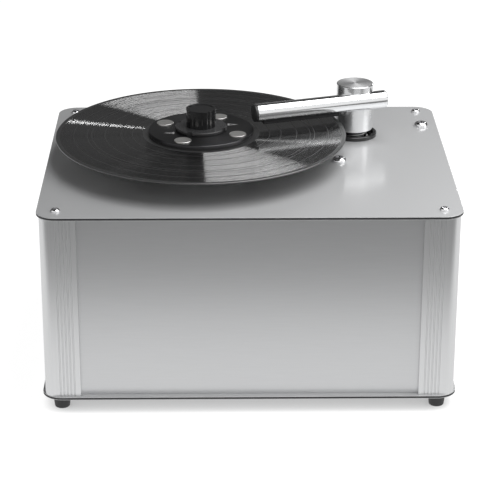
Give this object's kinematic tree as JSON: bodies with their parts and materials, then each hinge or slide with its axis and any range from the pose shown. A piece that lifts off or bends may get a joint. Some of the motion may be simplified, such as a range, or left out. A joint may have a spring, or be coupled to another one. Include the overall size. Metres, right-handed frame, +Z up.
{
  "type": "record cleaning machine",
  "caption": "Record cleaning machine: an aluminium case with a clamped record on a belt-driven platter and a swinging suction arm on a sprung column.",
  "frame": {"origin": "on the floor under the middle of the case", "axes": "+X to the right seen from the front, +Y to the rear, +Z up"},
  "size_m": [0.415, 0.338, 0.2683],
  "materials": {
    "sheet": "satin anodised skins on a black core",
    "extrusion": "satin anodised",
    "turned_aluminium": "polished and turned",
    "bright_steel": "bright plated",
    "steel": "plain machined steel",
    "zinc_sheet": "zinc plated",
    "black_anodised": "black anodised",
    "vinyl": "pressed vinyl",
    "rubber": "moulded rubber",
    "black_plastic": "moulded",
    "gloss_black": "gloss moulded",
    "white_plastic": "moulded polypropylene",
    "grey_plastic": "moulded",
    "bronze": "sintered bronze",
    "velvet": "cut pile",
    "board": "lacquered board"
  },
  "bodies": {
    "chassis": {"top_plate": "sheet", "bottom_plate": "sheet", "corner_post_front_left": "extrusion", "corner_post_front_right": "extrusion", "corner_post_rear_left": "extrusion", "corner_post_rear_right": "extrusion", "front_panel": "sheet", "rear_panel": "sheet", "left_panel": "sheet", "right_panel": "sheet", "case_screws": "bright_steel", "canister_bolts": "bright_steel", "fixing_screws": "steel", "feet": "rubber", "bearing_housing": "zinc_sheet", "spindle_bearings": "steel", "drive_belt": "rubber", "motor_bracket": "zinc_sheet", "gearbox": "zinc_sheet", "drive_motor": "steel", "guide_housing": "black_plastic", "guide_bushes": "bronze", "lift_spring": "steel", "arm_ring": "gloss_black", "canister_lid": "white_plastic", "canister": "white_plastic", "fan_housing": "black_plastic", "fan_motor": "steel", "suction_hose": "grey_plastic", "hose_clips": "steel", "drain_hose": "grey_plastic", "drain_outlet": "grey_plastic", "mains_inlet": "black_plastic", "switch_frames": "black_plastic", "control_board": "board"},
    "platter": {"spindle": "bright_steel", "platter": "turned_aluminium", "platter_magnets": "bright_steel", "platter_mat": "rubber", "record": "vinyl", "driven_pulley": "grey_plastic"},
    "motor_shaft": {"motor_pulley": "steel"},
    "clamp": {"clamp_seal": "rubber", "clamp_plate": "black_anodised", "clamp_magnets": "bright_steel", "clamp_hub": "gloss_black", "clamp_knob": "black_plastic"},
    "lift": {"thrust_washer": "black_plastic"},
    "arm": {"arm_column": "turned_aluminium", "arm_tube": "turned_aluminium", "arm_tip_plug": "black_plastic", "arm_end_cap": "turned_aluminium", "velvet_pads": "velvet", "arm_stem": "steel", "stem_clip": "steel"},
    "impeller": {"fan_impeller": "grey_plastic"},
    "power_switch": {"power_rocker": "gloss_black"},
    "suction_switch": {"suction_rocker": "gloss_black"},
    "platter_switch": {"platter_rocker": "gloss_black"},
    "drain_plug": {"drain_cap": "black_plastic"}
  },
  "joints": [
    {"name": "platter_spin", "type": "hinge", "parent": "chassis", "child": "platter", "pos_m": [-0.0485, 0.0083, 0.2218], "axis": [0, 0, 1], "continuous": true},
    {"name": "motor_spin", "type": "hinge", "parent": "chassis", "child": "motor_shaft", "pos_m": [-0.1285, -0.0467, 0.153], "axis": [0, 0, 1], "continuous": true},
    {"name": "clamp_lift_off", "type": "slide", "parent": "platter", "child": "clamp", "axis": [0, 0, 1], "range_m": [0, 0.06]},
    {"name": "arm_lift", "type": "slide", "parent": "chassis", "child": "lift", "axis": [0, 0, 1], "range_m": [-0.005, 0], "stiffness_N_per_m": 400, "springref_m": 0.015, "deforming": ["lift_spring"]},
    {"name": "arm_swing", "type": "hinge", "parent": "lift", "child": "arm", "pos_m": [0.1151, 0.0741, 0.24], "axis": [0, 0, 1], "range_deg": [0, 90]},
    {"name": "impeller_spin", "type": "hinge", "parent": "chassis", "child": "impeller", "pos_m": [-0.0601, 0.0741, 0.07], "axis": [0, 0, 1], "continuous": true},
    {"name": "power_rock", "type": "hinge", "parent": "chassis", "child": "power_switch", "pos_m": [-0.1105, 0.1615, 0.06], "axis": [-1, 0, 0], "range_deg": [0, 18]},
    {"name": "suction_rock", "type": "hinge", "parent": "chassis", "child": "suction_switch", "pos_m": [0.2, -0.073, 0.152], "axis": [0, 1, 0], "range_deg": [0, 18]},
    {"name": "platter_rock", "type": "hinge", "parent": "chassis", "child": "platter_switch", "pos_m": [0.2, -0.107, 0.152], "axis": [0, 1, 0], "range_deg": [-9, 9]},
    {"name": "drain_cap_pull", "type": "slide", "parent": "chassis", "child": "drain_plug", "axis": [0, 1, 0], "range_m": [0, 0.015]}
  ],
  "couplings": [
    {"joint": "motor_spin", "follows": "platter_spin", "ratio": 3}
  ]
}
